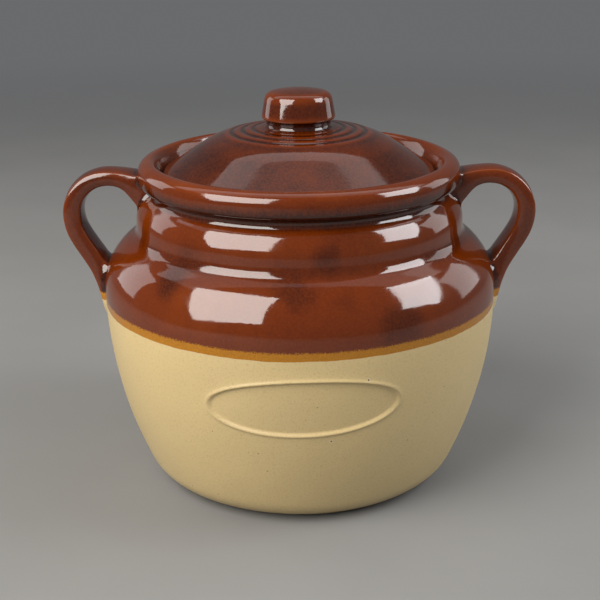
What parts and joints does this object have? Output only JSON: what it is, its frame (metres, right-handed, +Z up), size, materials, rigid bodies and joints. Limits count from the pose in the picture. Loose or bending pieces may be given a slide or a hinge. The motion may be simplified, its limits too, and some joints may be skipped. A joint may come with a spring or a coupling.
{
  "type": "bean pot",
  "caption": "Round-bellied stoneware bean pot with two strap ears, a sunk ledge in the rim and a loose domed lid with a knob.",
  "frame": {"origin": "on the table under the middle of the pot", "axes": "+Z up along the pot's turning axis, +X through the right-hand ear, -Y towards the viewer"},
  "size_m": [0.2296, 0.1914, 0.1896],
  "materials": {
    "pot_glaze": "dark brown glossy glaze above a mustard band, cream speckled satin glaze below",
    "brown_glaze": "dark red-brown glossy glaze, orange where it is thin"
  },
  "bodies": {
    "pot": {"pot_body": "pot_glaze", "handle_right": "brown_glaze", "handle_left": "brown_glaze"},
    "lid": {"lid": "brown_glaze", "lid_knob": "brown_glaze"}
  },
  "joints": [
    {"name": "lid_lift", "type": "slide", "parent": "pot", "child": "lid", "axis": [0, 0, 1], "range_m": [0, 0.15]}
  ]
}
